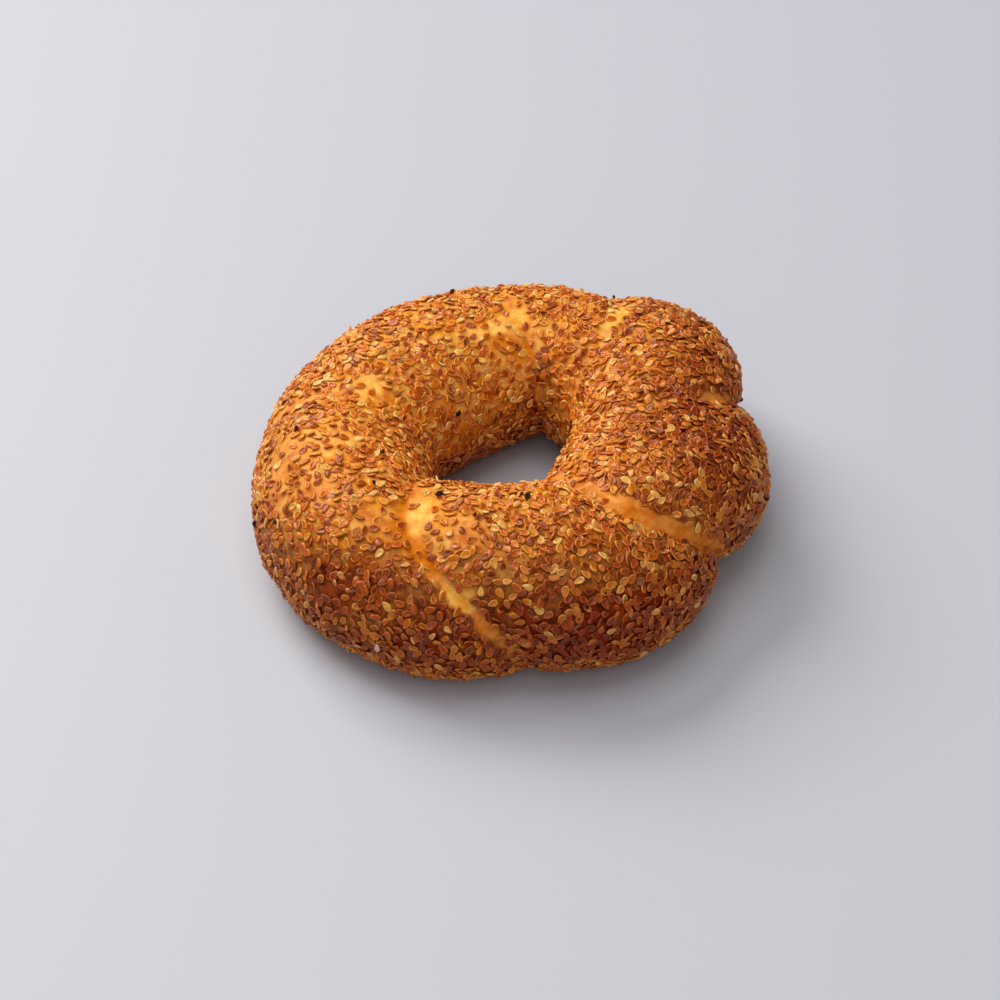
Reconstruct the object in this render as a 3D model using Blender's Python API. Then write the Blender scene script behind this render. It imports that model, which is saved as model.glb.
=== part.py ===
"""A simit: a fat twisted ring of bread, baked under sesame seeds.

Metres, +Z up. The ring lies flat on z = 0, its box is centred on x = y = 0 and its front faces -Y.
The crust is a torus whose points are moved by one formula: a tube that rests on a flat base, with
six pillow-shaped lobes between spiral grooves. The seeds are fused to it, evenly spread.
"""
import math
import random
from collections import namedtuple

import bmesh
import bpy
import numpy as np
from mathutils import Matrix, Vector

MM = 0.001

# Plan of the ring, in millimetres and in degrees anticlockwise from +X, the front being at 270.
# The radii and heights are evenly spaced round the ring, the first at 0 degrees.
RING_CENTRE = (0.9, 2.9)
OUTER_RADII = (79.0, 85.5, 81.0, 77.0, 78.5, 84.5, 85.0, 81.0)
HOLE_RADII = (14.0, 22.5, 25.0, 20.0, 18.5, 24.5, 28.0, 25.0, 19.5, 13.5)
HEIGHTS = (47.5, 45.0, 44.5, 44.0, 45.5, 46.0)

# Section of the tube.
EQUATOR_SHARE = 0.44     # height of the widest place, as a share of the ring's height
BASE_TUCK = 1.22         # how far the round underside would reach below the floor that flattens it
SECTION_POWER = 2.15     # 2 is an ellipse, more is squarer

# A groove runs from the hole over the crest to the outside and on under the ring to the hole, where
# it meets the next one. Angles are where it crosses those lines, depths are millimetres, and the
# slopes say how fast the lobe on each side rises from it: 1 is a long slope, 8 a steep edge.
Groove = namedtuple("Groove", "hole crest outside hole_depth crest_depth outside_depth slope_after slope_before")
GROOVES = (
    Groove(212.0, 235.5, 268.5, 4.0, 4.0, 7.0, 2.9, 7.6),
    Groove(279.0, 298.5, 325.0, 2.5, 4.0, 11.0, 2.4, 3.9),
    Groove(345.5, 361.0, 381.5, 3.0, 3.0, 11.5, 4.2, 3.0),
    Groove(411.5, 415.5, 440.5, 1.5, 1.8, 12.0, 1.4, 6.0),
    Groove(434.5, 451.5, 461.5, 4.5, 2.0, 5.0, 3.2, 1.4),
    Groove(525.5, 532.0, 539.0, 2.5, 3.0, 2.5, 4.5, 1.9),
)
STATIONS_PER_TURN = 4    # a groove is described at the hole, the crest, the outside and underneath
FULL_TURN = 360.0

# Mesh of the crust.
RING_STEPS = 80
TUBE_STEPS = 24

# Sesame seeds.
SEED_LENGTH = 3.2
SEED_WIDTH = 2.1
SEED_THICKNESS = 1.2
SEED_TAPER = 0.28        # share of its width that a seed loses from its middle to its pointed end
SEED_SIZE_SPREAD = 0.1
SEED_LIFT = 0.15         # height of a seed's middle above the crust
SEED_SPACING = 13.0
SEED_COUNT = 168
SEED_TRIES = 9000
SEED_CLEARANCE = 5.0     # lowest seed above the floor
BARE_STRIP = 3.0         # no seed closer than this to a groove
SEEDED_TUBE = (-60.0, 240.0)    # tube angles that carry seeds, from the outside to the hole
SLOPE_STEP = 0.5         # degrees between the points that give the slope of the crust
RANDOM_SEED = 7

CRUST_COLOUR = (0.56, 0.26, 0.07, 1.0)
CRUST_ROUGHNESS = 0.42


def clear_scene():
    for item in list(bpy.data.objects):
        bpy.data.objects.remove(item, do_unlink=True)
    for group in list(bpy.data.collections):
        bpy.data.collections.remove(group)


def smooth_curve(values, place, rise=0.0):
    """Value at place on a smooth curve through evenly spaced values, which repeats and climbs by rise."""
    values = np.asarray(values, float)
    count = len(values)
    start = np.floor(place).astype(int)
    step = place - start

    def value_at(shift):
        index = start + shift
        return values[index % count] + rise * (index // count)

    before, first, second, after = (value_at(shift) for shift in (-1, 0, 1, 2))
    return 0.5 * (
        2 * first
        + (second - before) * step
        + (2 * before - 5 * first + 4 * second - after) * step ** 2
        + (3 * first - before - 3 * second + after) * step ** 3
    )


def along_twist(field_names, climbs=False):
    """Values of the grooves in the order in which the twist meets them, four for each groove."""
    values = []
    for number, groove in enumerate(GROOVES):
        following = GROOVES[(number + 1) % len(GROOVES)]
        lap = FULL_TURN if climbs and number + 1 == len(GROOVES) else 0.0
        hole, crest, outside = (getattr(groove, name) for name in field_names)
        next_hole = getattr(following, field_names[0]) + lap
        values += [hole, crest, outside, (outside + next_hole) / 2]
    return values


GROOVE_ANGLES = along_twist(("hole", "crest", "outside"), climbs=True)
GROOVE_DEPTHS = along_twist(("hole_depth", "crest_depth", "outside_depth"))
SLOPES_AFTER = along_twist(("slope_after",) * 3)
SLOPES_BEFORE = along_twist(("slope_before",) * 3)


def place_in_lobe(ring_angle, turn):
    """Which groove lies before a place, and the angles from it and to the next one."""
    shape = np.broadcast(ring_angle, turn).shape
    before = np.full(shape, -np.inf)
    after = np.full(shape, np.inf)
    groove = np.zeros(shape, int)
    laps = len(GROOVES) + 2
    for number in range(-laps, laps):
        angle = smooth_curve(GROOVE_ANGLES, STATIONS_PER_TURN * number + turn, FULL_TURN)
        angle = np.broadcast_to(angle, shape)
        passed = angle <= ring_angle
        before = np.where(passed, angle, before)
        groove = np.where(passed, number, groove)
        after = np.where(passed, after, np.minimum(after, angle))
    return groove, ring_angle - before, after - ring_angle


def groove_drop(ring_angle, turn):
    """How far the crust lies below the full round tube, in millimetres."""
    groove, from_groove, to_next = place_in_lobe(ring_angle, turn)
    share = from_groove / (from_groove + to_next)
    here = STATIONS_PER_TURN * groove + turn
    there = here + STATIONS_PER_TURN
    falling = smooth_curve(GROOVE_DEPTHS, here) * (1 - share) ** smooth_curve(SLOPES_AFTER, here)
    rising = smooth_curve(GROOVE_DEPTHS, there) * share ** smooth_curve(SLOPES_BEFORE, there)
    return falling + rising


def crust_points(ring_angle, tube_angle):
    """Points of the crust in metres. Tube angles: 180 is the hole, 90 the crest, 0 the outside."""
    turn = (180.0 - tube_angle) / (FULL_TURN / STATIONS_PER_TURN)
    ring_share = ring_angle / FULL_TURN
    outer = smooth_curve(OUTER_RADII, ring_share * len(OUTER_RADII))
    hole = smooth_curve(HOLE_RADII, ring_share * len(HOLE_RADII))
    height = smooth_curve(HEIGHTS, ring_share * len(HEIGHTS))
    equator = EQUATOR_SHARE * height

    across = np.cos(np.radians(tube_angle))
    up = np.sin(np.radians(tube_angle))
    power = 2 / SECTION_POWER
    reach = (outer - hole) / 2 * np.sign(across) * np.abs(across) ** power
    rise_above = (height - equator) * np.abs(up) ** power
    drop_below = -equator * BASE_TUCK * np.abs(up) ** power
    lift = np.where(up > 0, rise_above, drop_below)
    kept = 1 - groove_drop(ring_angle, turn) / np.hypot(reach, lift)

    radius = (outer + hole) / 2 + reach * kept
    x = RING_CENTRE[0] + radius * np.cos(np.radians(ring_angle))
    y = RING_CENTRE[1] + radius * np.sin(np.radians(ring_angle))
    z = np.maximum(equator + lift * kept, 0.0)
    return np.stack([x, y, z], axis=-1) * MM


def make_crust(collection):
    """A torus primitive whose points move to the crust."""
    bpy.ops.mesh.primitive_torus_add(
        major_segments=RING_STEPS, minor_segments=TUBE_STEPS, major_radius=1.0, minor_radius=0.5
    )
    crust = bpy.context.object
    crust.name = "simit"
    crust.data.name = "simit"
    for group in list(crust.users_collection):
        group.objects.unlink(crust)
    collection.objects.link(crust)
    start = np.array([tuple(vertex.co) for vertex in crust.data.vertices])
    ring_angle = np.degrees(np.arctan2(start[:, 1], start[:, 0]))
    from_tube_centre = np.hypot(start[:, 0], start[:, 1]) - 1.0
    tube_angle = np.degrees(np.arctan2(start[:, 2], from_tube_centre))
    ring_angle = np.round(ring_angle / FULL_TURN * RING_STEPS) * FULL_TURN / RING_STEPS
    tube_angle = np.round(tube_angle / FULL_TURN * TUBE_STEPS) * FULL_TURN / TUBE_STEPS
    places = crust_points(ring_angle % FULL_TURN, tube_angle)
    for vertex, place in zip(crust.data.vertices, places):
        vertex.co = place
    crust.data.update()
    return crust


def crust_frame(ring_angle, tube_angle):
    """A point of the crust, its outward normal and a direction along the tube."""
    angles = np.array([ring_angle, ring_angle + SLOPE_STEP, ring_angle])
    tube_angles = np.array([tube_angle, tube_angle, tube_angle + SLOPE_STEP])
    point, along, around = (Vector(place) for place in crust_points(angles, tube_angles))
    tangent = (along - point).normalized()
    normal = tangent.cross(around - point).normalized()
    return point, normal, tangent


def too_near_groove(ring_angle, tube_angle, point):
    turn = np.array((180.0 - tube_angle) / (FULL_TURN / STATIONS_PER_TURN))
    _, from_groove, to_next = place_in_lobe(np.array(ring_angle), turn)
    from_centre = math.hypot(point.x - RING_CENTRE[0] * MM, point.y - RING_CENTRE[1] * MM)
    return math.radians(float(min(from_groove, to_next))) * from_centre < BARE_STRIP * MM


def seed_places():
    """Evenly spread places for the seeds, clear of the grooves and of the floor."""
    draw = random.Random(RANDOM_SEED)
    places = []
    for _ in range(SEED_TRIES):
        ring_angle = draw.uniform(0.0, FULL_TURN)
        tube_angle = draw.uniform(*SEEDED_TUBE)
        spin = draw.uniform(0.0, math.tau)
        size = 1.0 + draw.uniform(-SEED_SIZE_SPREAD, SEED_SIZE_SPREAD)
        point, normal, tangent = crust_frame(ring_angle, tube_angle)
        if point.z < SEED_CLEARANCE * MM:
            continue
        if too_near_groove(ring_angle, tube_angle, point):
            continue
        if any((point - other[0]).length < SEED_SPACING * MM for other in places):
            continue
        places.append((point, normal, tangent, spin, size))
        if len(places) == SEED_COUNT:
            break
    return places


def make_seed_mesh():
    """One flat seed, its pointed end towards +Z, lying against the crust along its Y direction."""
    mesh = bpy.data.meshes.new("sesame_seed")
    form = bmesh.new()
    bmesh.ops.create_uvsphere(form, u_segments=6, v_segments=4, radius=0.5)
    for vertex in form.verts:
        narrowed = 1.0 - SEED_TAPER * max(vertex.co.z, 0.0) * 2
        vertex.co.x *= SEED_WIDTH * narrowed * MM
        vertex.co.y *= SEED_THICKNESS * MM
        vertex.co.z *= SEED_LENGTH * MM
    form.to_mesh(mesh)
    form.free()
    return mesh


def make_seeds():
    """The seeds as objects of a collection of their own, ready to be joined to the crust."""
    seeds = bpy.data.collections.new("sesame_seeds")
    bpy.context.scene.collection.children.link(seeds)
    mesh = make_seed_mesh()
    for point, normal, tangent, spin, size in seed_places():
        pointed_end = Matrix.Rotation(spin, 3, normal) @ tangent
        side = normal.cross(pointed_end)
        turned = Matrix((side, normal, pointed_end)).transposed().to_4x4()
        seed = bpy.data.objects.new("sesame_seed", mesh)
        seed.matrix_world = (
            Matrix.Translation(point + normal * SEED_LIFT * MM) @ turned @ Matrix.Scale(size, 4)
        )
        seeds.objects.link(seed)
    return seeds


def fuse_seeds(crust, seeds):
    """Join the seeds to the crust by one Boolean union, then remove the loose seeds."""
    union = crust.modifiers.new("fused seeds", "BOOLEAN")
    union.operation = "UNION"
    union.operand_type = "COLLECTION"
    union.collection = seeds
    union.solver = "EXACT"
    bpy.context.view_layer.objects.active = crust
    bpy.ops.object.modifier_apply(modifier=union.name)
    for seed in list(seeds.objects):
        bpy.data.objects.remove(seed, do_unlink=True)
    bpy.data.collections.remove(seeds)


def keep_largest_shell(crust):
    """Drop any scrap or sealed hollow that joining has left."""
    form = bmesh.new()
    form.from_mesh(crust.data)
    waiting = set(form.verts)
    shells = []
    while waiting:
        shell = set()
        edge_of_growth = [waiting.pop()]
        while edge_of_growth:
            vertex = edge_of_growth.pop()
            shell.add(vertex)
            for edge in vertex.link_edges:
                neighbour = edge.other_vert(vertex)
                if neighbour in waiting:
                    waiting.remove(neighbour)
                    edge_of_growth.append(neighbour)
        shells.append(shell)
    shells.sort(key=len)
    for shell in shells[:-1]:
        bmesh.ops.delete(form, geom=list(shell), context="VERTS")
    form.to_mesh(crust.data)
    form.free()


def make_crust_material():
    material = bpy.data.materials.new("baked_crust")
    material.use_nodes = True
    shader = material.node_tree.nodes["Principled BSDF"]
    shader.inputs["Base Color"].default_value = CRUST_COLOUR
    shader.inputs["Roughness"].default_value = CRUST_ROUGHNESS
    shader.inputs["Metallic"].default_value = 0.0
    return material


def main():
    clear_scene()
    collection = bpy.data.collections.new("simit")
    bpy.context.scene.collection.children.link(collection)
    crust = make_crust(collection)
    fuse_seeds(crust, make_seeds())
    keep_largest_shell(crust)
    crust.data.materials.clear()
    crust.data.materials.append(make_crust_material())
    crust.data.shade_smooth()


main()
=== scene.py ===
"""Looks of the simit: a golden crust and about seven and a half thousand sesame seeds.

Metres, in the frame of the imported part: the ring lies on z = 0 and its front faces -Y.
The crust repeats the formula that shapes the solid, with a finer mesh and the small unevenness of
baked dough. The seeds are real meshes at true size, thrown on by a seeded rule that follows where
the baked ring carries many, few or none.
"""

import math
from collections import namedtuple
from itertools import product

import bpy
import numpy as np
from mathutils import Matrix, Vector, noise
from mathutils.kdtree import KDTree


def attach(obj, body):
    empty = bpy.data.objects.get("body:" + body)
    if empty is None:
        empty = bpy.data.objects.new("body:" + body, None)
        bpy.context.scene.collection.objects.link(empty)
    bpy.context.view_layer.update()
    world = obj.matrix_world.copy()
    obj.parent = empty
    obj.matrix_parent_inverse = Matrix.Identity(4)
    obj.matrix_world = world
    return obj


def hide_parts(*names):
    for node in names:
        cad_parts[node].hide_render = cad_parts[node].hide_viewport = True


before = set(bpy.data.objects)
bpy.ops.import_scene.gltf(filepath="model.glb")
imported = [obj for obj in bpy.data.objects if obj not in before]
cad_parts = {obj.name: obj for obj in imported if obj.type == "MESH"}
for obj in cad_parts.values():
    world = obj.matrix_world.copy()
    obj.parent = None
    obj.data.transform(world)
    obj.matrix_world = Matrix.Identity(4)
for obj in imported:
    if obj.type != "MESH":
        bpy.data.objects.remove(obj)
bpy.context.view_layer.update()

MM = 0.001
FULL_TURN = 360.0

# Plan and section of the ring, as in the solid: millimetres, degrees anticlockwise from +X.
RING_CENTRE = (0.9, 2.9)
OUTER_RADII = (79.0, 85.5, 81.0, 77.0, 78.5, 84.5, 85.0, 81.0)
HOLE_RADII = (14.0, 22.5, 25.0, 20.0, 18.5, 24.5, 28.0, 25.0, 19.5, 13.5)
HEIGHTS = (47.5, 45.0, 44.5, 44.0, 45.5, 46.0)
EQUATOR_SHARE = 0.44
BASE_TUCK = 1.22
SECTION_POWER = 2.15
STATIONS_PER_TURN = 4

# A groove's place, depth and slopes are those of the solid. The bare widths, in millimetres, say how
# far the seedless strip reaches to each side of it, at the hole, the crest and the outside.
Groove = namedtuple(
    "Groove",
    "hole crest outside hole_depth crest_depth outside_depth slope_after slope_before"
    " bare_before bare_after",
)
GROOVES = (
    Groove(212.0, 235.5, 268.5, 4.0, 4.0, 7.0, 2.9, 7.6, (0.6, 0.8, 2.8), (1.5, 5.0, 0.8)),
    Groove(279.0, 298.5, 325.0, 2.5, 4.0, 11.0, 2.4, 3.9, (0.2, 0.8, 1.0), (0.2, 5.8, 7.0)),
    Groove(345.5, 361.0, 381.5, 3.0, 3.0, 11.5, 4.2, 3.0, (0.2, 0.6, 3.6), (0.2, 0.8, 3.0)),
    Groove(411.5, 415.5, 440.5, 1.5, 1.8, 12.0, 1.4, 6.0, (0.2, 1.6, 0.4), (0.2, 1.6, 0.4)),
    Groove(434.5, 451.5, 461.5, 4.5, 2.0, 5.0, 3.2, 1.4, (0.2, 1.2, 0.2), (0.3, 2.2, 0.2)),
    Groove(525.5, 532.0, 539.0, 2.5, 3.0, 2.5, 4.5, 1.9, (0.2, 1.6, 1.6), (0.2, 0.8, 0.8)),
)

# Crust mesh. A point nearer the floor than the gap, in millimetres, rests on it, and the studio
# floor lies that far below the ring.
RING_STEPS = 430
TUBE_STEPS = 200
FLOOR_GAP = 0.1

# Layers of smooth noise: size of the lumps in millimetres and how far they reach. The relief reaches
# in millimetres, and so does the wobble of the strips' edges. The rest reach about -1 to 1.
CRUST_RELIEF = ((15.0, 0.45), (5.0, 0.26), (1.8, 0.14), (0.7, 0.03))
STRIP_WOBBLE = ((7.0, 3.2), (2.5, 1.6))
COVER_NOISE = ((9.0, 1.5), (4.0, 0.7))
TOAST_NOISE = ((14.0, 1.5), (5.0, 0.8))
STRIP_OFFSET = 31.0
COVER_OFFSET = 57.0
TOAST_OFFSET = 83.0

# Patches on the crust: middle and half width in degrees, round the ring and round the tube.
Patch = namedtuple("Patch", "ring tube ring_width tube_width share")

# Where seeds are few, and the share of them that is missing.
THIN_PATCHES = (
    Patch(206, 66, 30, 46, 0.55),
    Patch(226, 20, 24, 34, 0.45),
    Patch(277, 44, 24, 32, 0.30),
    Patch(140, 96, 48, 40, 0.42),
    Patch(114, 109, 12, 9, 0.85),
    Patch(142, 108, 9, 10, 0.75),
    Patch(168, 96, 9, 13, 0.85),
    Patch(88, 98, 6, 8, 0.60),
    Patch(90, 120, 10, 19, 0.90),
    Patch(177, 34, 6, 14, 0.70),
    Patch(239, 98, 7, 24, 0.90),
    Patch(254, 84, 17, 26, 0.45),
    Patch(55, 88, 4, 17, 0.92),
    Patch(125, 168, 38, 24, 0.40),
    Patch(254, 30, 9, 30, 0.30),
    Patch(30, 100, 40, 40, 0.25),
)

# Where seeds lie in a bare strip after all.
SEEDED_PATCHES = (
    Patch(247, 64, 5, 9, 0.55),
    Patch(266, -8, 6, 12, 0.60),
    Patch(298, 96, 8, 10, 0.35),
)

# Where the crust is baked dark, and how dark, with painted light and shade in three of the patches.
TOAST_AND_SHADE_PATCHES = (
    # Front, outside: baked dark, but stopping short of the lower edge, which is left lighter as painted
    # light thrown up from the floor.
    Patch(285, 5, 62, 48, 0.86),
    Patch(348, 66, 38, 52, 0.62),
    # Front left, low: the same, with the lower edge left lighter as painted light from the floor.
    Patch(216, -14, 36, 34, 0.52),
    Patch(236, 14, 18, 30, 0.30),
    Patch(120, 215, 75, 36, 0.70),
    Patch(25, 50, 32, 50, 0.50),
    # Not baking: painted shade deep in the crease by the hole.
    Patch(77, 166, 4, 26, 0.95),
    Patch(274, 66, 22, 20, 0.25),
)

# Where the crust is a clear light gold.
GOLDEN_PATCHES = (
    Patch(242, 90, 5, 20, 1.00),
    Patch(257, 32, 6, 16, 0.85),
    Patch(88, 104, 8, 11, 0.90),
    Patch(98, 108, 7, 7, 0.80),
    Patch(114, 110, 9, 8, 0.90),
    Patch(142, 107, 9, 10, 0.80),
    Patch(168, 94, 10, 13, 0.95),
    Patch(56, 88, 4, 16, 0.90),
    Patch(304, 94, 6, 9, 0.50),
    Patch(205, 80, 14, 20, 0.40),
)

# Where the crust turns a clear amber.
AMBER_PATCHES = (
    Patch(236, 88, 3, 7, 0.70),
    Patch(239, 76, 3, 8, 0.95),
    Patch(246, 65, 4, 8, 0.95),
    Patch(250, 54, 4, 7, 0.70),
    Patch(90, 132, 6, 10, 0.90),
    Patch(98, 119, 6, 7, 0.70),
    Patch(322, 24, 4, 18, 0.75),
    Patch(305, 76, 3, 10, 0.60),
)

# Where it turns amber along the line of a groove, and how wide the line is, in millimetres.
AMBER_LINES = (
    Patch(238, 84, 16, 34, 1.00),
    Patch(312, 80, 12, 40, 0.70),
    Patch(84, 140, 10, 40, 0.90),
)
AMBER_LINE_WIDTH = 1.6
AMBER_STRENGTH = 1.2
AMBER_UNEVENNESS = 0.5

# Unevenness of the cover and of the browning: everywhere, and what full strength adds to it.
THIN_UNEVENNESS = (0.2, 0.5)
TOAST_UNEVENNESS = (0.06, 0.16)
MOST_THIN = 0.97

# How the shares on the crust mix. Thinness between the two limits bares the crust, up to a share.
BARE_BY_THINNESS = (0.45, 0.95)
MOST_BARE_BY_THINNESS = 0.9
CREASE_DEPTHS = (1.8, 10.8)
GOLD_LIMITS = (0.2, 0.7)
GOLD_UNEVENNESS = 0.9
GOLD_UNDER_COVER = 0.15
GOLD_BY_SEED = 0.35
TOAST_LOST_IN_STRIP = 0.9
TOAST_LOST_IN_GOLD = 0.7

# Seeds, in millimetres and radians.
SEED_COUNT = 11000
SEED_CANDIDATES = 190000
SEED_LENGTH = (3.0, 4.0)
SEED_WIDTH_SHARE = (0.50, 0.62)
SEED_THICKNESS = (0.64, 0.92)
SEED_OUTLINE_POINTS = 10
SEED_TILT = 0.25
TIPPED_SHARE = 0.14
TIPPED_TILT = 0.5
CLOSE_SPACING = 1.70
WIDE_SPACING = 5.2
SEED_LOWEST = 0.6
LOWEST_LIFT = 0.18
LIFT_SPREAD = 0.25
LIFT_PER_NEIGHBOUR = 0.16
MOST_LIFT = 0.78
NEIGHBOUR_REACH = 2.1
RANDOM_SEED = 21
STRIP_COVER = 0.12
STRIP_SOFTNESS = 2.2
SEED_CLEARANCE = 0.05
TONE_SHIFT_BY_TOAST_AND_SHADE = 0.14

# The crust swells a little under each seed: how far round it and how high, in millimetres.
SEED_BED_REACH = 1.3
SEED_BED_HEIGHT = 0.22

# Crumbs burnt black, and one pale chip: ring angle, tube angle, length in millimetres.
CHARRED = (
    (243, 106, 3.6), (274, 104, 3.7), (258, 90, 1.6), (190, 64, 2.0), (212, 110, 1.6), (224, 90, 1.3),
    (202, 5, 2.2), (212, 29, 1.8), (347, 3, 2.4), (108, 59, 2.6), (144, 155, 2.2), (88, 194, 1.9),
    (20, 20, 1.8), (65, 40, 1.7), (140, 20, 2.0), (300, 140, 1.5),
)
PALE_CHIPS = ((243.5, -7, 3.4),)
CRUMB_WIDTH_SHARE = (0.35, 0.6)
CRUMB_THICKNESS = (0.9, 1.5)
CRUMB_LIFT = (0.9, 1.2)

# Gloss of the crust and the seeds, and the warm tint of what they mirror.
WARM_SHEEN = (1.0, 0.84, 0.70, 1.0)
CRUST_SPECULAR = 0.09
SEED_ROUGHNESS = 0.24
SEED_SPECULAR = 0.42

# Lights, in metres and watts, and the sky round them.
Lamp = namedtuple("Lamp", "name place size power colour")
LAMPS = (
    Lamp("window", (-1.08, 1.05, 1.35), 1.3, 38.5, (1.0, 0.97, 0.90)),
    Lamp("ceiling", (-0.2, -0.1, 1.7), 1.2, 10.5, (1.0, 0.97, 0.93)),
    Lamp("room", (0.0, -1.5, 1.2), 1.6, 9.0, (1.0, 0.97, 0.93)),
)
LIT_POINT = (0.0, 0.0, 0.02)
SKY_COLOUR = (1.0, 0.96, 0.92, 1.0)
SKY_STRENGTH = 0.2
FLOOR_SIZE = 4.0

# Camera, at the photograph's angle: degrees, metres and the lens in millimetres.
CAMERA_TILT = 39.57
CAMERA_ROLL = 0.56
CAMERA_DISTANCE = 0.7722
CAMERA_TARGET = (-0.0036, 0.0112, 0.0)
CAMERA_LENS = 90.0
SENSOR_WIDTH = 36.0


def smooth_curve(values, place, rise=0.0):
    """Value at place on a smooth curve through evenly spaced values, which repeats and climbs by rise."""
    values = np.asarray(values, float)
    count = len(values)
    start = np.floor(place).astype(int)
    step = place - start

    def value_at(shift):
        index = start + shift
        return values[index % count] + rise * (index // count)

    before, first, second, after = (value_at(shift) for shift in (-1, 0, 1, 2))
    return 0.5 * (
        2 * first
        + (second - before) * step
        + (2 * before - 5 * first + 4 * second - after) * step ** 2
        + (3 * first - before - 3 * second + after) * step ** 3
    )


def along_twist(rows, climb=0.0):
    """Values in the order in which the twist meets them, four for each groove: rows of three each."""
    values = []
    for number, (hole, crest, outside) in enumerate(rows):
        following = rows[(number + 1) % len(rows)][0]
        if number + 1 == len(rows):
            following += climb
        values += [hole, crest, outside, (outside + following) / 2]
    return values


GROOVE_ANGLES = along_twist([(g.hole, g.crest, g.outside) for g in GROOVES], FULL_TURN)
GROOVE_DEPTHS = along_twist([(g.hole_depth, g.crest_depth, g.outside_depth) for g in GROOVES])
SLOPES_AFTER = along_twist([(g.slope_after,) * 3 for g in GROOVES])
SLOPES_BEFORE = along_twist([(g.slope_before,) * 3 for g in GROOVES])
BARE_BEFORE = along_twist([g.bare_before for g in GROOVES])
BARE_AFTER = along_twist([g.bare_after for g in GROOVES])


def place_in_lobe(ring_angle, turn):
    """Which groove lies before a place, and the angles from it and to the next one."""
    shape = np.broadcast(ring_angle, turn).shape
    before = np.full(shape, -np.inf)
    after = np.full(shape, np.inf)
    groove = np.zeros(shape, int)
    laps = len(GROOVES) + 2
    for number in range(-laps, laps):
        angle = smooth_curve(GROOVE_ANGLES, STATIONS_PER_TURN * number + turn, FULL_TURN)
        angle = np.broadcast_to(angle, shape)
        passed = angle <= ring_angle
        before = np.where(passed, angle, before)
        groove = np.where(passed, number, groove)
        after = np.where(passed, after, np.minimum(after, angle))
    return groove, ring_angle - before, after - ring_angle


def turn_of(tube_angle):
    """Stations passed since the hole, on the way over the crest to the outside and underneath."""
    return (FULL_TURN / 2 - tube_angle) / (FULL_TURN / STATIONS_PER_TURN)


def groove_drop(ring_angle, turn):
    """How far the crust lies below the full round tube, in millimetres."""
    groove, from_groove, to_next = place_in_lobe(ring_angle, turn)
    share = from_groove / (from_groove + to_next)
    here = STATIONS_PER_TURN * groove + turn
    there = here + STATIONS_PER_TURN
    falling = smooth_curve(GROOVE_DEPTHS, here) * (1 - share) ** smooth_curve(SLOPES_AFTER, here)
    rising = smooth_curve(GROOVE_DEPTHS, there) * share ** smooth_curve(SLOPES_BEFORE, there)
    return falling + rising


def crust_points(ring_angle, tube_angle):
    """Points of the crust in metres. Tube angles: 180 is the hole, 90 the crest, 0 the outside."""
    ring_share = ring_angle / FULL_TURN
    outer = smooth_curve(OUTER_RADII, ring_share * len(OUTER_RADII))
    hole = smooth_curve(HOLE_RADII, ring_share * len(HOLE_RADII))
    height = smooth_curve(HEIGHTS, ring_share * len(HEIGHTS))
    equator = EQUATOR_SHARE * height
    across = np.cos(np.radians(tube_angle))
    up = np.sin(np.radians(tube_angle))
    power = 2 / SECTION_POWER
    reach = (outer - hole) / 2 * np.sign(across) * np.abs(across) ** power
    rise_above = (height - equator) * np.abs(up) ** power
    drop_below = -equator * BASE_TUCK * np.abs(up) ** power
    lift = np.where(up > 0, rise_above, drop_below)
    kept = 1 - groove_drop(ring_angle, turn_of(tube_angle)) / np.hypot(reach, lift)
    radius = (outer + hole) / 2 + reach * kept
    x = RING_CENTRE[0] + radius * np.cos(np.radians(ring_angle))
    y = RING_CENTRE[1] + radius * np.sin(np.radians(ring_angle))
    z = np.maximum(equator + lift * kept, 0.0)
    return np.stack([x, y, z], axis=-1) * MM


def ramp(value, limits):
    """0 below the lower limit, 1 above the upper one, straight between."""
    low, high = limits
    return np.clip((value - low) / (high - low), 0.0, 1.0)


def unit(vectors):
    return vectors / np.maximum(np.linalg.norm(vectors, axis=-1, keepdims=True), 1e-12)


def crust_frame(ring_angle, tube_angle, step=0.4):
    """Points of the crust, their outward normals and their directions round the ring.

    step is how far off the neighbours lie that give the directions, in degrees.
    """
    point = crust_points(ring_angle, tube_angle)
    along = unit(crust_points(ring_angle + step, tube_angle) - point)
    around = crust_points(ring_angle, tube_angle + step) - point
    normal = unit(np.cross(along, around))
    return point, normal, along


def lumps(points, layers, offset=0.0):
    """Sum of smooth noise layers, each with its size in millimetres and its reach."""
    shift = Vector((offset, offset, offset))
    total = np.zeros(len(points))
    for size, reach in layers:
        scale = 1.0 / (size * MM)
        total += reach * np.array([noise.noise(Vector(point) * scale + shift) for point in points])
    return total


def strip_wobble(point):
    """Unevenness of the edges of the bare strips, in millimetres."""
    return lumps(point, STRIP_WOBBLE, STRIP_OFFSET)


def cover_noise(point):
    """Patchiness of the seeds, about -1 to 1."""
    return lumps(point, COVER_NOISE, COVER_OFFSET)


def toast_noise(point):
    """Patchiness of the browning, about -1 to 1."""
    return lumps(point, TOAST_NOISE, TOAST_OFFSET)


def groove_gaps(ring_angle, turn, point):
    """Which station lies before a place, and how far its groove and the next one are, in millimetres."""
    groove, from_groove, to_next = place_in_lobe(ring_angle, turn)
    from_centre = np.hypot(point[:, 0] / MM - RING_CENTRE[0], point[:, 1] / MM - RING_CENTRE[1])
    here = STATIONS_PER_TURN * groove + turn
    return here, np.radians(from_groove) * from_centre, np.radians(to_next) * from_centre


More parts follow.
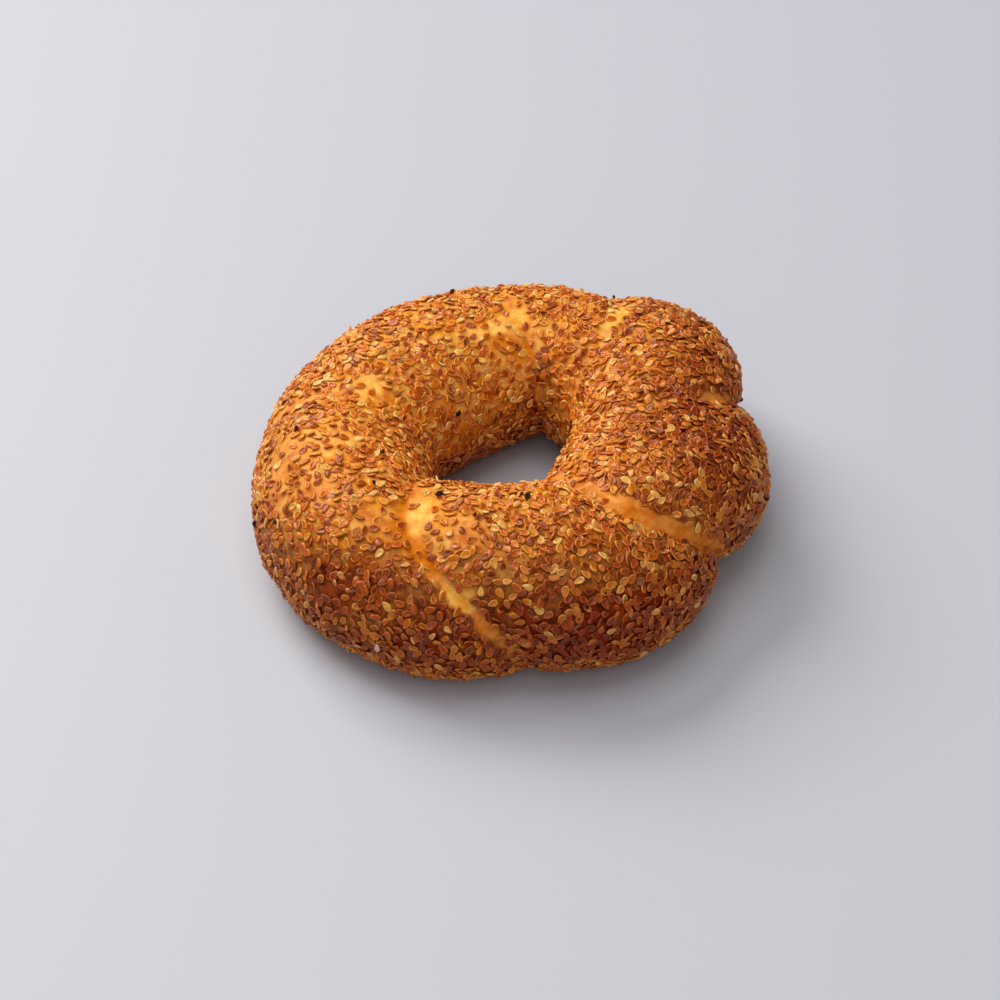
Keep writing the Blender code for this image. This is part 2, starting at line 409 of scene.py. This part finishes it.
def bare_share(ring_angle, tube_angle, point, wobble):
    """1 in the seedless strips beside the grooves, 0 out on the lobes, soft between."""
    here, past, left = groove_gaps(ring_angle, turn_of(tube_angle), point)
    edge_after = smooth_curve(BARE_AFTER, here) + wobble
    edge_before = smooth_curve(BARE_BEFORE, here + STATIONS_PER_TURN) + wobble
    after = np.clip((edge_after - past) / STRIP_SOFTNESS + 0.5, 0, 1)
    before = np.clip((edge_before - left) / STRIP_SOFTNESS + 0.5, 0, 1)
    seeded = patch_cover(SEEDED_PATCHES, ring_angle, tube_angle)
    return np.maximum(after, before) * (1.0 - seeded)


def amber_share(ring_angle, tube_angle, point, uneven):
    """How far the crust turns a deeper amber here, along and beside the grooves, from 0 to 1."""
    _, past, left = groove_gaps(ring_angle, turn_of(tube_angle), point)
    on_line = np.exp(-(np.minimum(past, left) / AMBER_LINE_WIDTH) ** 2)
    lined = on_line * patch_cover(AMBER_LINES, ring_angle, tube_angle)
    gathered = patch_cover(AMBER_PATCHES, ring_angle, tube_angle)
    strength = AMBER_STRENGTH + AMBER_UNEVENNESS * uneven
    return np.clip(np.maximum(lined, gathered) * strength, 0.0, 1.0)


def near(angle, middle, width):
    """Smooth bump of an angle round its middle."""
    gap = (angle - middle + FULL_TURN / 2) % FULL_TURN - FULL_TURN / 2
    return np.exp(-(gap / width) ** 2)


def in_patch(patch, ring_angle, tube_angle):
    """Smooth bump over one patch."""
    return near(ring_angle, patch.ring, patch.ring_width) * near(tube_angle, patch.tube, patch.tube_width)


def patch_cover(patches, ring_angle, tube_angle):
    """How strongly patches cover a place, from 0 to 1."""
    left = np.ones(np.shape(ring_angle))
    for patch in patches:
        left = left * (1.0 - patch.share * in_patch(patch, ring_angle, tube_angle))
    return 1.0 - left


def thinness(ring_angle, tube_angle, uneven):
    """Share of the seeds that is missing, 0 where they lie close."""
    covered = patch_cover(THIN_PATCHES, ring_angle, tube_angle)
    everywhere, added = THIN_UNEVENNESS
    return np.clip(covered + (everywhere + added * covered) * uneven, 0.0, MOST_THIN)


def toast_and_shade_share(ring_angle, tube_angle, uneven):
    """How dark the crust is baked, from 0 to 1, with painted shade deep in one crease and a front lower
    edge left lighter as painted light from the floor.
    """
    covered = patch_cover(TOAST_AND_SHADE_PATCHES, ring_angle, tube_angle)
    everywhere, added = TOAST_UNEVENNESS
    return np.clip(covered + (everywhere + added * covered) * uneven, 0.0, 1.0)


def link(tree, start, end):
    tree.links.new(start, end)


def new_material(name, roughness, coat, coat_roughness):
    material = bpy.data.materials.new(name)
    material.use_nodes = True
    shader = material.node_tree.nodes["Principled BSDF"]
    shader.inputs["Roughness"].default_value = roughness
    shader.inputs["Coat Weight"].default_value = coat
    shader.inputs["Coat Roughness"].default_value = coat_roughness
    shader.inputs["Specular Tint"].default_value = WARM_SHEEN
    return material, material.node_tree, shader


def add_noise(tree, size, detail=3.0, roughness=0.55):
    """Noise texture in object space whose lumps are about size metres across."""
    where = tree.nodes.new("ShaderNodeTexCoord")
    texture = tree.nodes.new("ShaderNodeTexNoise")
    texture.inputs["Scale"].default_value = 1.0 / size
    texture.inputs["Detail"].default_value = detail
    texture.inputs["Roughness"].default_value = roughness
    link(tree, where.outputs["Object"], texture.inputs["Vector"])
    return texture


def add_mix(tree, share, first, second, blend="MIX"):
    """Colour mix. share, first and second are sockets or plain values."""
    mix = tree.nodes.new("ShaderNodeMix")
    mix.data_type = "RGBA"
    mix.blend_type = blend
    mix.clamp_factor = True
    for socket, value in ((mix.inputs[0], share), (mix.inputs[6], first), (mix.inputs[7], second)):
        if isinstance(value, bpy.types.NodeSocket):
            link(tree, value, socket)
        else:
            socket.default_value = value
    return mix.outputs[2]


def add_range(tree, value, low, high, to_low=0.0, to_high=1.0):
    """Value spread from low..high to to_low..to_high, and held there beyond."""
    ranged = tree.nodes.new("ShaderNodeMapRange")
    ranged.inputs["From Min"].default_value = low
    ranged.inputs["From Max"].default_value = high
    ranged.inputs["To Min"].default_value = to_low
    ranged.inputs["To Max"].default_value = to_high
    link(tree, value, ranged.inputs["Value"])
    return ranged.outputs["Result"]


def add_attribute(tree, name):
    """A share that was stored on the mesh's points."""
    attribute = tree.nodes.new("ShaderNodeAttribute")
    attribute.attribute_name = name
    return attribute.outputs["Fac"]


def add_mottle(tree, texture, low, high, colours):
    """Two colours in soft patches of a noise texture."""
    return add_mix(tree, add_range(tree, texture.outputs["Fac"], low, high), *colours)


def cover_with(tree, under, over, name, low, high, most=1.0):
    """One colour over another as far as the named share on the mesh says."""
    return add_mix(tree, add_range(tree, add_attribute(tree, name), low, high, 0.0, most), under, over)


def srgb(red, green, blue):
    """Colour as a viewer sees it, 0 to 255, turned to the shader's own scale."""
    def one(value):
        value /= 255.0
        return value / 12.92 if value <= 0.04045 else ((value + 0.055) / 1.055) ** 2.4
    return (one(red), one(green), one(blue), 1.0)


# Sizes of the mottling on the crust and the seeds, and depth of the pores, in metres.
PATCH_SIZE = 0.009
STAIN_SIZE = 0.0035
CHAR_SIZE = 0.0022
PORE_SIZE = 0.0007
PORE_DEPTH = 0.0004
GRAIN_SIZE = 0.0009

# Colours of the crust: plain, stained, sticky round the seeds and darkened there as painted shade in the
# gaps, in the bare strips and the creases, where it is baked dark or burnt, with painted shade in one
# deep crease, and a deeper amber beside the grooves. A pair is mottled.
CRUST_GOLD = (srgb(244, 182, 88), srgb(234, 154, 40))
CRUST_STAIN = srgb(204, 106, 16)
# Darker round the seeds: sticky caramel together with painted shade in the gaps between them.
STICKY_AND_SHADED_RING = srgb(140, 42, 0)
STRIP_CRUST = (srgb(242, 164, 80), srgb(206, 110, 34))
CREASE = srgb(222, 120, 18)
# Dark brown of baking, also used as painted shade in one deep crease.
TOASTED_AND_SHADED_CRUST = srgb(136, 40, 0)
CHARRED_CRUST = srgb(50, 9, 0)
LIGHT_GOLD = (srgb(252, 196, 96), srgb(238, 160, 48))
AMBER = (srgb(228, 136, 18), srgb(196, 98, 4))


def make_crust_material():
    material, tree, shader = new_material("baked_crust", roughness=0.45, coat=0.03, coat_roughness=0.2)
    shader.inputs["Specular IOR Level"].default_value = CRUST_SPECULAR
    patches = add_noise(tree, PATCH_SIZE, 4.0)
    stains = add_noise(tree, STAIN_SIZE, 4.0, 0.65)
    char = add_noise(tree, CHAR_SIZE, 3.0)
    golden = add_mottle(tree, patches, 0.40, 0.60, CRUST_GOLD)
    stain_share = add_range(tree, stains.outputs["Fac"], 0.46, 0.64, 0.0, 0.55)
    stained = add_mix(tree, stain_share, golden, CRUST_STAIN)
    # Darker near each seed: sticky caramel together with painted shade in the gaps.
    sticky_and_shaded = cover_with(tree, stained, STICKY_AND_SHADED_RING, "by_seed", 0.1, 1.0, 0.85)
    strip = add_mottle(tree, stains, 0.38, 0.62, STRIP_CRUST)
    creased = cover_with(tree, strip, CREASE, "crease", 0.0, 1.0, 0.75)
    paled = cover_with(tree, sticky_and_shaded, creased, "bare", 0.2, 0.9)
    browned_and_shaded = cover_with(tree, paled, TOASTED_AND_SHADED_CRUST, "toasted", 0.0, 0.75)
    char_share = add_range(tree, char.outputs["Fac"], 0.44, 0.6, 0.0, 0.85)
    charred = add_mix(tree, char_share, browned_and_shaded, CHARRED_CRUST)
    baked = cover_with(tree, browned_and_shaded, charred, "toasted", 0.15, 0.7)
    light_gold = add_mottle(tree, stains, 0.40, 0.62, LIGHT_GOLD)
    gilded = cover_with(tree, baked, light_gold, "golden", 0.2, 0.8)
    amber = add_mottle(tree, stains, 0.40, 0.62, AMBER)
    with_amber = cover_with(tree, gilded, amber, "amber", 0.2, 0.8)
    link(tree, with_amber, shader.inputs["Base Color"])
    roughness = add_range(tree, stains.outputs["Fac"], 0.3, 0.7, 0.36, 0.52)
    link(tree, roughness, shader.inputs["Roughness"])
    pores = add_noise(tree, PORE_SIZE, 5.0, 0.7)
    bump = tree.nodes.new("ShaderNodeBump")
    bump.inputs["Strength"].default_value = 0.35
    bump.inputs["Distance"].default_value = PORE_DEPTH
    link(tree, pores.outputs["Fac"], bump.inputs["Height"])
    link(tree, bump.outputs["Normal"], shader.inputs["Normal"])
    return material


def add_values(mesh, name, values):
    attribute = mesh.attributes.new(name, "FLOAT", "POINT")
    attribute.data.foreach_set("value", np.asarray(values, np.float32))


def nearness(point, seeds):
    """How near each point is to a seed: 1 under its middle, 0 where no seed is by."""
    tree = KDTree(len(seeds.point))
    for number, place in enumerate(seeds.point):
        tree.insert(place, number)
    tree.balance()
    gap = np.array([tree.find(place)[2] for place in point]) / MM
    return np.exp(-(gap / SEED_BED_REACH) ** 2)


def ring_grid():
    """Steps round the ring and round the tube of each point of the crust's grid, and its faces."""
    ring_step = np.repeat(np.arange(RING_STEPS), TUBE_STEPS)
    tube_step = np.tile(np.arange(TUBE_STEPS), RING_STEPS)
    next_ring = (ring_step + 1) % RING_STEPS
    next_tube = (tube_step + 1) % TUBE_STEPS
    corners = (
        ring_step * TUBE_STEPS + tube_step,
        next_ring * TUBE_STEPS + tube_step,
        next_ring * TUBE_STEPS + next_tube,
        ring_step * TUBE_STEPS + next_tube,
    )
    return ring_step, tube_step, np.stack(corners, axis=1)


def paint_crust(mesh, ring_angle, tube_angle, point, by_seed):
    """Stores on the crust's points the shares that its material mixes its colours by."""
    strip = bare_share(ring_angle, tube_angle, point, strip_wobble(point))
    thin = thinness(ring_angle, tube_angle, cover_noise(point))
    bare = np.maximum(strip, MOST_BARE_BY_THINNESS * ramp(thin, BARE_BY_THINNESS))
    depth = groove_drop(ring_angle, turn_of(tube_angle))
    gold = patch_cover(GOLDEN_PATCHES, ring_angle, tube_angle)
    gold = ramp(gold * (1.0 + GOLD_UNEVENNESS * cover_noise(point)), GOLD_LIMITS)
    gold *= GOLD_UNDER_COVER + (1.0 - GOLD_UNDER_COVER) * bare
    # The toasting share also holds painted shade in one crease and a front lower edge left lighter as
    # painted light.
    toasted = toast_and_shade_share(ring_angle, tube_angle, toast_noise(point))
    toasted *= (1.0 - TOAST_LOST_IN_STRIP * strip) * (1.0 - TOAST_LOST_IN_GOLD * gold)
    add_values(mesh, "bare", bare)
    add_values(mesh, "by_seed", by_seed)
    add_values(mesh, "crease", ramp(depth, CREASE_DEPTHS))
    add_values(mesh, "golden", gold * (GOLD_BY_SEED + (1.0 - GOLD_BY_SEED) * (1.0 - by_seed)))
    add_values(mesh, "amber", amber_share(ring_angle, tube_angle, point, toast_noise(point)))
    add_values(mesh, "toasted", toasted)


def make_crust(seeds):
    """A fine mesh on the formula of the crust, with the unevenness of dough."""
    ring_step, tube_step, faces = ring_grid()
    ring_angle = ring_step * FULL_TURN / RING_STEPS
    tube_angle = tube_step * FULL_TURN / TUBE_STEPS - FULL_TURN / 2
    point, normal, _ = crust_frame(ring_angle, tube_angle)
    by_seed = nearness(point, seeds)
    on_floor = point[:, 2] < FLOOR_GAP * MM
    uneven = np.where(on_floor, 0.0, lumps(point, CRUST_RELIEF) + SEED_BED_HEIGHT * by_seed)
    placed = point + normal * (uneven * MM)[:, None]
    placed[:, 2] = np.maximum(placed[:, 2], 0.0)
    mesh = bpy.data.meshes.new("crust")
    mesh.from_pydata(placed, [], faces)
    paint_crust(mesh, ring_angle, tube_angle, point, by_seed)
    return add_piece("crust", mesh, make_crust_material())


def seed_form(dish, bend):
    """Points, triangles and rim share of one seed, long axis X, top +Z: a flat drop with a rim.

    dish says how far its middle sinks below the rim, negative for a seed that bulges, and bend how
    far its ends droop. The rim share is 1 along the rim and 0 in the middle.
    """
    count = SEED_OUTLINE_POINTS
    angle = np.arange(count) * math.tau / count
    half_width = 0.5 * np.sin(angle) * (1.0 - 0.40 * np.cos(angle) - 0.08 * np.cos(2 * angle))
    outline = np.stack([0.5 * np.cos(angle), half_width, np.zeros(count)], axis=1)
    # Rings of the outline from the edge inward: size, height and rim share.
    levels = ((1.0, -0.05, 0.9), (0.80, 0.5, 1.0), (0.60, 0.5 - dish, 0.0))
    points = np.concatenate(
        [outline * (size, size, 0.0) + (0.0, 0.0, height) for size, height, _ in levels]
        + [[(0.0, 0.0, -0.5)], [(-0.03, 0.0, 0.5 - 0.9 * dish)]]
    )
    points[:, 2] += bend * (1.0 - (2 * points[:, 0]) ** 2)
    rim = np.concatenate([np.full(count, share) for _, _, share in levels] + [[0.5, 0.0]])
    bottom = len(levels) * count
    top = bottom + 1
    triangles = []
    for number in range(count):
        following = (number + 1) % count
        triangles.append((bottom, following, number))
        for level in range(len(levels) - 1):
            low = level * count
            high = low + count
            triangles.append((low + number, low + following, high + following))
            triangles.append((low + number, high + following, high + number))
        triangles.append((high + number, high + following, top))
    return points, np.array(triangles), rim


SEED_FORMS = (
    seed_form(0.40, 0.0),
    seed_form(0.28, 0.25),
    seed_form(0.50, -0.2),
    seed_form(-0.20, 0.0),
    seed_form(0.12, 0.15),
)
SEED_FORM_SHARES = (0.26, 0.20, 0.12, 0.26, 0.16)

Seeds = namedtuple(
    "Seeds", "point normal along length width thickness lift spin tilt_long tilt_side form tone toasted"
)


def lay_apart(points, spacing, most):
    """Numbers of the points kept, each its own spacing from those kept before it, and how crowded."""
    size = spacing.max()
    cells = {}
    kept = []
    crowd = []
    for number, place in enumerate(points):
        home = np.floor(place / size).astype(int)
        others = []
        for step in product((-1, 0, 1), repeat=3):
            others += cells.get((home[0] + step[0], home[1] + step[1], home[2] + step[2]), ())
        gaps = np.linalg.norm(points[others] - place, axis=1)
        if len(others) and gaps.min() < spacing[number]:
            continue
        kept.append(number)
        crowd.append(np.count_nonzero(gaps < NEIGHBOUR_REACH * MM))
        cells.setdefault(tuple(home), []).append(number)
        if len(kept) == most:
            break
    return np.array(kept), np.array(crowd)


def random_places(draw, count):
    """Ring and tube angles spread evenly over the area of the crust that is off the floor."""
    ring_cells, tube_cells = 360, 180
    ring_edges = np.arange(ring_cells) * FULL_TURN / ring_cells
    tube_edges = np.arange(tube_cells) * FULL_TURN / tube_cells
    grid = crust_points(ring_edges[:, None], tube_edges[None, :])
    wide = np.linalg.norm(np.roll(grid, -1, 0) - grid, axis=-1)
    tall = np.linalg.norm(np.roll(grid, -1, 1) - grid, axis=-1)
    area = (wide * tall * (grid[..., 2] > SEED_LOWEST * MM)).ravel()
    cell = draw.choice(area.size, count, p=area / area.sum())
    ring_angle = ring_edges[cell // tube_cells] + draw.random(count) * FULL_TURN / ring_cells
    tube_angle = tube_edges[cell % tube_cells] + draw.random(count) * FULL_TURN / tube_cells
    return ring_angle, tube_angle


def throw_seeds():
    """Where each seed lies: even over the area, no two too close, as close as the cover asks."""
    draw = np.random.default_rng(RANDOM_SEED)
    ring_angle, tube_angle = random_places(draw, SEED_CANDIDATES)
    point, normal, along = crust_frame(ring_angle, tube_angle)
    bare = bare_share(ring_angle, tube_angle, point, strip_wobble(point))
    thin = thinness(ring_angle, tube_angle, cover_noise(point))
    cover = (1.0 - thin) * (1.0 - (1.0 - STRIP_COVER) * bare)
    wanted = point[:, 2] > SEED_LOWEST * MM
    chosen = np.flatnonzero(wanted)
    fewest = (CLOSE_SPACING / WIDE_SPACING) ** 2
    spacing = CLOSE_SPACING * MM / np.sqrt(np.clip(cover[chosen], fewest, 1.0))
    kept, crowd = lay_apart(point[chosen], spacing, SEED_COUNT)
    chosen = chosen[kept]
    count = len(chosen)
    toasted = toast_and_shade_share(ring_angle[chosen], tube_angle[chosen], toast_noise(point[chosen]))
    tilt = np.where(draw.random(count) < TIPPED_SHARE, TIPPED_TILT, SEED_TILT)
    lift = LOWEST_LIFT + draw.random(count) * LIFT_SPREAD + LIFT_PER_NEIGHBOUR * crowd
    return Seeds(
        point=point[chosen] + normal[chosen] * lumps(point[chosen], CRUST_RELIEF)[:, None] * MM,
        normal=normal[chosen],
        along=along[chosen],
        length=draw.uniform(*SEED_LENGTH, count),
        width=draw.uniform(*SEED_WIDTH_SHARE, count),
        thickness=draw.uniform(*SEED_THICKNESS, count),
        lift=np.minimum(lift, MOST_LIFT),
        spin=draw.uniform(0, math.tau, count),
        tilt_long=draw.normal(0.0, tilt, count),
        tilt_side=draw.normal(0.0, tilt, count),
        form=draw.choice(len(SEED_FORMS), count, p=SEED_FORM_SHARES),
        tone=draw.random(count) + TONE_SHIFT_BY_TOAST_AND_SHADE * toasted,
        toasted=toasted,
    )


def seed_axes(seeds):
    """Three columns for each seed: its long axis, its width and its top direction."""
    side = np.cross(seeds.normal, seeds.along)
    turn = seeds.spin[:, None]
    long_axis = np.cos(turn) * seeds.along + np.sin(turn) * side
    long_axis = unit(long_axis + np.tan(seeds.tilt_long)[:, None] * seeds.normal)
    width_axis = unit(np.cross(seeds.normal, long_axis) + np.tan(seeds.tilt_side)[:, None] * seeds.normal)
    top = unit(np.cross(long_axis, width_axis))
    width_axis = np.cross(top, long_axis)
    return long_axis, width_axis, top


# Tones of seed: the share of all seeds, the colours of rim and middle, and how far the browning of
# the crust round them, painted shade included, reaches them. The lighter rim is partly the seeds' own
# pale edge and partly a painted highlight.
Tone = namedtuple("Tone", "name share rim middle browning")
TONES = (
    Tone("sesame_pale", 0.12, srgb(255, 216, 136), srgb(248, 188, 80), 0.50),
    Tone("sesame_golden", 0.25, srgb(255, 194, 88), srgb(238, 146, 24), 0.80),
    Tone("sesame_tan", 0.32, srgb(248, 166, 68), srgb(214, 110, 10), 1.0),
    Tone("sesame_toasted", 0.21, srgb(226, 142, 60), srgb(176, 80, 4), 0.9),
    Tone("sesame_dark", 0.10, srgb(204, 122, 48), srgb(150, 70, 2), 0.9),
)

# What the tones are multiplied by: browning with its painted shade, the seeds' own differences and their
# grain.
TOASTED_AND_SHADED_SEED = srgb(167, 98, 35)
SEED_VARIATION = srgb(222, 160, 96)
SEED_GRAIN = srgb(186, 108, 48)

# Rim and middle of the crumbs.
CHAR_COLOURS = (srgb(66, 44, 28), srgb(36, 24, 16))
CHIP_COLOURS = (srgb(246, 228, 214), srgb(232, 206, 188))


def make_seed_material(name, rim, middle, browning, roughness=SEED_ROUGHNESS, specular=SEED_SPECULAR):
    material, tree, shader = new_material(name, roughness, coat=0.0, coat_roughness=0.25)
    shader.inputs["Specular IOR Level"].default_value = specular
    # Lighter towards the rim: the seed's own pale edge together with a painted highlight.
    shell_and_highlight = add_mix(tree, add_attribute(tree, "rim"), middle, rim)
    geometry = tree.nodes.new("ShaderNodeNewGeometry")
    own = add_range(tree, geometry.outputs["Random Per Island"], 0.0, 1.0, 0.0, 0.6)
    varied = add_mix(tree, own, shell_and_highlight, SEED_VARIATION, "MULTIPLY")
    grain = add_noise(tree, GRAIN_SIZE, 3.0)
    grain_share = add_range(tree, grain.outputs["Fac"], 0.45, 0.7, 0.0, 0.4)
    grained = add_mix(tree, grain_share, varied, SEED_GRAIN, "MULTIPLY")
    # Darker with the crust's toasting share, which also holds painted shade.
    toasted = add_range(tree, add_attribute(tree, "toasted"), 0.0, 1.0, 0.0, browning)
    browned_and_shaded = add_mix(tree, toasted, grained, TOASTED_AND_SHADED_SEED, "MULTIPLY")
    link(tree, browned_and_shaded, shader.inputs["Base Color"])
    return material


def make_seed_piece(name, seeds, chosen, material):
    """One mesh of all the seeds of a tone."""
    long_axis, width_axis, top = seed_axes(seeds)
    points, triangles, rims, toasted = [], [], [], []
    start = 0
    for number in chosen:
        form_points, form_triangles, form_rim = SEED_FORMS[seeds.form[number]]
        length = seeds.length[number] * MM
        width = length * seeds.width[number]
        thick = seeds.thickness[number] * MM
        own = (
            seeds.point[number]
            + seeds.normal[number] * seeds.lift[number] * MM
            + form_points[:, 0:1] * length * long_axis[number]
            + form_points[:, 1:2] * width * width_axis[number]
            + form_points[:, 2:3] * thick * top[number]
        )
        own[:, 2] = np.maximum(own[:, 2], SEED_CLEARANCE * MM)
        points.append(own)
        triangles.append(form_triangles + start)
        rims.append(form_rim)
        toasted.append(np.full(len(form_rim), seeds.toasted[number]))
        start += len(form_points)
    mesh = bpy.data.meshes.new(name)
    mesh.from_pydata(np.concatenate(points), [], np.concatenate(triangles))
    add_values(mesh, "rim", np.concatenate(rims))
    add_values(mesh, "toasted", np.concatenate(toasted))
    return add_piece(name, mesh, material)


def add_piece(name, mesh, material):
    mesh.shade_smooth()
    mesh.materials.append(material)
    piece = bpy.data.objects.new(name, mesh)
    bpy.context.scene.collection.objects.link(piece)
    return piece


def make_seed_pieces(seeds):
    """One piece for each tone, with its share of the seeds. Those on dark crust lean to dark tones."""
    order = np.argsort(seeds.tone)
    pieces = []
    start = 0
    for tone in TONES:
        end = min(len(order), start + round(tone.share * len(order)))
        material = make_seed_material(tone.name, tone.rim, tone.middle, tone.browning)
        pieces.append(make_seed_piece(tone.name, seeds, order[start:end], material))
        start = end
    print("seeds laid:", len(order))
    return pieces


def make_crumbs(name, places, material, draw):
    """Burnt crumbs and chips, shaped like thick seeds, at places of their own."""
    ring_angle, tube_angle, length = np.array(places, float).T
    point, normal, along = crust_frame(ring_angle, tube_angle)
    count = len(length)
    crumbs = Seeds(
        point=point,
        normal=normal,
        along=along,
        length=length,
        width=draw.uniform(*CRUMB_WIDTH_SHARE, count),
        thickness=draw.uniform(*CRUMB_THICKNESS, count),
        lift=draw.uniform(*CRUMB_LIFT, count),
        spin=draw.uniform(0, math.tau, count),
        tilt_long=draw.normal(0.0, SEED_TILT, count),
        tilt_side=draw.normal(0.0, SEED_TILT, count),
        form=np.full(count, len(SEED_FORMS) - 1),
        tone=np.zeros(count),
        toasted=np.zeros(count),
    )
    return make_seed_piece(name, crumbs, range(count), material)


def make_odd_crumbs():
    draw = np.random.default_rng(RANDOM_SEED + 1)
    char = make_seed_material(
        "charred_crumb", *CHAR_COLOURS, browning=0.0, roughness=0.8, specular=0.1
    )
    pale = make_seed_material(
        "pale_chip", *CHIP_COLOURS, browning=0.0, roughness=0.5, specular=0.3
    )
    return [
        make_crumbs("charred_crumbs", CHARRED, char, draw),
        make_crumbs("pale_chips", PALE_CHIPS, pale, draw),
    ]


FLOOR_COLOUR = srgb(190, 194, 207)


def make_floor():
    bpy.ops.mesh.primitive_plane_add(size=FLOOR_SIZE, location=(0.0, 0.0, -FLOOR_GAP * MM))
    floor = bpy.context.object
    floor.name = "studio_floor"
    material, _, shader = new_material("studio_floor", roughness=0.55, coat=0.0, coat_roughness=0.3)
    shader.inputs["Base Color"].default_value = FLOOR_COLOUR
    floor.data.materials.append(material)
    return floor


def aim(thing, target):
    direction = Vector(target) - thing.location
    thing.rotation_euler = direction.to_track_quat("-Z", "Y").to_euler()


def add_light(lamp):
    data = bpy.data.lights.new(lamp.name, "AREA")
    data.size = lamp.size
    data.energy = lamp.power
    data.color = lamp.colour
    light = bpy.data.objects.new(lamp.name, data)
    bpy.context.scene.collection.objects.link(light)
    light.location = lamp.place
    aim(light, LIT_POINT)


def light_scene():
    """Daylight from a window behind at the left, with soft fill from above and in front."""
    for lamp in LAMPS:
        add_light(lamp)
    world = bpy.data.worlds.new("studio")
    bpy.context.scene.world = world
    world.use_nodes = True
    background = world.node_tree.nodes["Background"]
    background.inputs["Color"].default_value = SKY_COLOUR
    background.inputs["Strength"].default_value = SKY_STRENGTH
    bpy.context.scene.view_settings.view_transform = "Standard"


def add_camera():
    """Camera that looks down on the ring at the photograph's angle, with its slight roll."""
    tilt = math.radians(CAMERA_TILT)
    roll = math.radians(CAMERA_ROLL)
    forward = Vector((0.0, math.cos(tilt), -math.sin(tilt)))
    level_right = Vector((1.0, 0.0, 0.0))
    level_up = level_right.cross(forward)
    right = math.cos(roll) * level_right + math.sin(roll) * level_up
    up = math.cos(roll) * level_up - math.sin(roll) * level_right
    lens = bpy.data.cameras.new("camera")
    lens.lens = CAMERA_LENS
    lens.sensor_width = SENSOR_WIDTH
    camera = bpy.data.objects.new("camera", lens)
    bpy.context.scene.collection.objects.link(camera)
    turned = Matrix((right, up, -forward)).transposed().to_4x4()
    place = Vector(CAMERA_TARGET) - forward * CAMERA_DISTANCE
    camera.matrix_world = Matrix.Translation(place) @ turned
    bpy.context.scene.camera = camera


def main():
    seeds = throw_seeds()
    crust = make_crust(seeds)
    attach(crust, "root")
    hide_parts("simit")
    for piece in make_seed_pieces(seeds) + make_odd_crumbs():
        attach(piece, "root")
    make_floor()
    light_scene()
    add_camera()


main()
